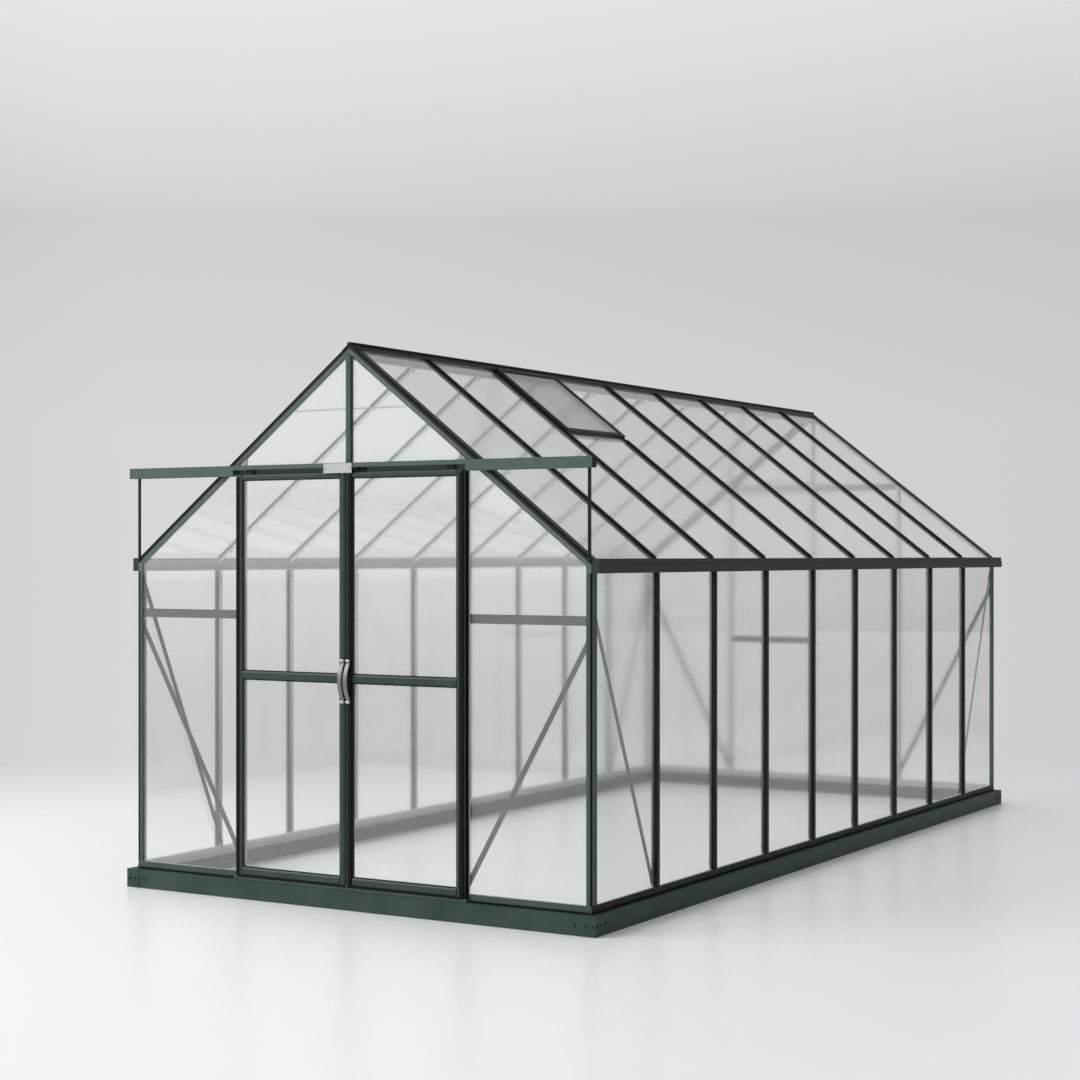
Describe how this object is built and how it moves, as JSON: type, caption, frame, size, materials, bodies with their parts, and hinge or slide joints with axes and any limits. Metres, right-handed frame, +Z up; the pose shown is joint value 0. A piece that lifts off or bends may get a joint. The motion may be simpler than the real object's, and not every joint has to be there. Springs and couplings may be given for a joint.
{
  "type": "glass greenhouse",
  "caption": "Gabled glass greenhouse on a low plinth, with glazing bars, gutters, a roof vent and a pair of sliding doors hung from a track across the gable.",
  "frame": {"origin": "centre of the footprint, at ground level under the plinth", "axes": "+X to the right along the door gable seen from outside, +Y from the door gable to the back, +Z up"},
  "size_m": [2.632, 5.667, 2.6282],
  "materials": {
    "frame_green": "satin green powder coat on aluminium",
    "bar_green": "satin dark green powder coat on aluminium",
    "seal_black": "matt black",
    "plate_white": "bare satin",
    "chrome": "polished",
    "nylon": "moulded",
    "glass": "clear float glass"
  },
  "bodies": {
    "greenhouse": {"base_ends": "frame_green", "base_sides": "frame_green", "base_corners": "frame_green", "base_splices": "frame_green", "end_sills": "frame_green", "side_sills": "frame_green", "corner_posts": "frame_green", "gutters": "frame_green", "gutter_ends": "frame_green", "gable_rafters": "frame_green", "back_rails": "frame_green", "door_posts": "frame_green", "door_lintel": "frame_green", "front_gable_bar": "frame_green", "front_mid_rails": "frame_green", "door_threshold": "frame_green", "door_track": "frame_green", "wall_bars": "bar_green", "ridge_beam": "bar_green", "roof_bars": "bar_green", "back_bars": "bar_green", "wall_braces": "bar_green", "track_stays": "bar_green", "vent_frame": "bar_green", "vent_sill": "bar_green", "door_seals": "seal_black", "track_end_caps": "seal_black", "header_plate": "plate_white", "vent_glass": "glass", "left_wall_glass": "glass", "right_wall_glass": "glass", "left_roof_glass": "glass", "right_roof_glass": "glass", "front_glass": "glass", "back_glass": "glass"},
    "left_door": {"left_door_stiles": "frame_green", "left_door_rails": "frame_green", "left_door_glass": "glass", "left_door_handle": "chrome", "left_door_rollers": "nylon"},
    "right_door": {"right_door_stiles": "frame_green", "right_door_rails": "frame_green", "right_door_glass": "glass", "right_door_handle": "chrome", "right_door_rollers": "nylon"}
  },
  "joints": [
    {"name": "left_door_slide", "type": "slide", "parent": "greenhouse", "child": "left_door", "axis": [-1, 0, 0], "range_m": [0, 0.6]},
    {"name": "right_door_slide", "type": "slide", "parent": "greenhouse", "child": "right_door", "axis": [1, 0, 0], "range_m": [0, 0.6]}
  ]
}
